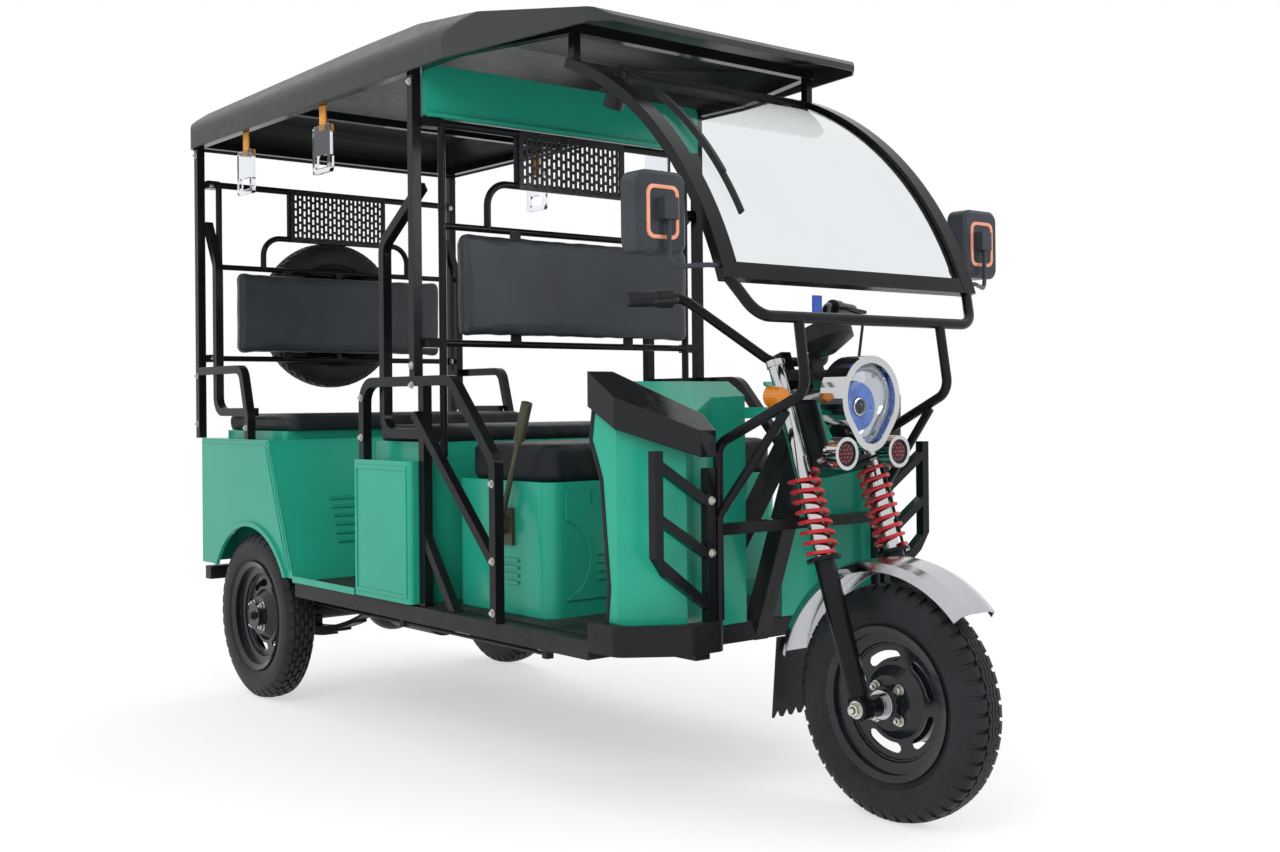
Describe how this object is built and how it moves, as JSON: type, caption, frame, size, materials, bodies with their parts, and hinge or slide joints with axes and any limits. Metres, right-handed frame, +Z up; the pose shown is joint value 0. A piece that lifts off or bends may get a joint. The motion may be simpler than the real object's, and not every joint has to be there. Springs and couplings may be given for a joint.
{
  "type": "auto rickshaw",
  "caption": "Open-sided battery three-wheeler for passengers: facing benches under a hard canopy, handlebar steering, a curved windscreen and a spare wheel behind the rear seat.",
  "frame": {"origin": "on the ground, midway between the front tyre's foremost point and the spare tyre's rearmost point, in the middle of the width", "axes": "+X forward, +Y to the vehicle's left, +Z up"},
  "size_m": [2.829, 1.144, 1.882],
  "materials": {
    "frame_black": "satin black paint",
    "mesh_steel": "grey powder coat",
    "floor_mat": "ribbed rubber mat",
    "bumper_black": "moulded, satin",
    "body_green": "gloss teal green paint",
    "cap_plastic": "gloss black",
    "vinyl": "grained dark vinyl",
    "red_lens": "moulded red lens",
    "roof_grey": "moulded dark grey",
    "screen_glass": "clear laminated glass",
    "control_plastic": "moulded black",
    "lever_steel": "bare steel with a rubber grip",
    "handle_plastic": "clear moulded",
    "battery_plastic": "moulded case",
    "axle_steel": "black paint over cast and rolled steel",
    "rim_black": "gloss black pressed steel",
    "tyre": "black rubber",
    "fork_chrome": "bright chrome",
    "spring_red": "gloss red paint",
    "lamp_shell": "chromed bezel on a black shell",
    "lamp_glass": "clear lens with a blue reflector",
    "amber_lens": "moulded amber lens",
    "guard_steel": "polished steel",
    "flap_rubber": "black sheet rubber"
  },
  "bodies": {
    "body": {"chassis_frame": "frame_black", "floor_deck": "floor_mat", "nose_bumper": "bumper_black", "leg_guards": "frame_black", "leg_shield": "body_green", "leg_shield_caps": "cap_plastic", "driver_seat_box": "body_green", "driver_cushion": "vinyl", "mid_seat_box": "body_green", "mid_cushion": "vinyl", "rear_seat_box": "body_green", "rear_cushion": "vinyl", "seat_back_frames": "frame_black", "seat_back_meshes": "mesh_steel", "seat_back_pads": "vinyl", "side_panels": "body_green", "tail_panel": "body_green", "tail_lamps": "red_lens", "armrests": "frame_black", "canopy_posts": "frame_black", "roof_frame": "frame_black", "roof_shell": "roof_grey", "header_panel": "body_green", "windscreen_frame": "frame_black", "windscreen_glass": "screen_glass", "wiper": "control_plastic", "mirrors": "control_plastic", "handbrake": "lever_steel", "grab_handles": "handle_plastic", "battery_pack": "battery_plastic", "rear_axle": "axle_steel", "leaf_springs": "axle_steel", "spare_rim": "rim_black", "spare_tyre": "tyre"},
    "steering": {"fork_yokes": "frame_black", "fork_tubes": "fork_chrome", "fork_sliders": "axle_steel", "fork_springs": "spring_red", "handlebar": "frame_black", "controls": "control_plastic", "headlamp": "lamp_shell", "headlamp_lens": "lamp_glass", "horns": "fork_chrome", "front_indicators": "amber_lens", "front_mudguard": "guard_steel", "mudflap": "flap_rubber"},
    "front_wheel": {"front_rim": "rim_black", "front_tyre": "tyre"},
    "rear_wheel_right": {"rear_rim_right": "rim_black", "rear_tyre_right": "tyre"},
    "rear_wheel_left": {"rear_rim_left": "rim_black", "rear_tyre_left": "tyre"}
  },
  "joints": [
    {"name": "steer", "type": "hinge", "parent": "body", "child": "steering", "pos_m": [1.12183, 0, 0.23572], "axis": [-0.3173, 0, 0.9483], "range_deg": [-40, 40]},
    {"name": "front_spin", "type": "hinge", "parent": "steering", "child": "front_wheel", "pos_m": [1.1645, 0, 0.25], "axis": [0, 1, 0], "continuous": true},
    {"name": "rear_right_spin", "type": "hinge", "parent": "body", "child": "rear_wheel_right", "pos_m": [-0.9475, -0.4365, 0.25], "axis": [0, 1, 0], "continuous": true},
    {"name": "rear_left_spin", "type": "hinge", "parent": "body", "child": "rear_wheel_left", "pos_m": [-0.9475, 0.4365, 0.25], "axis": [0, 1, 0], "continuous": true}
  ]
}
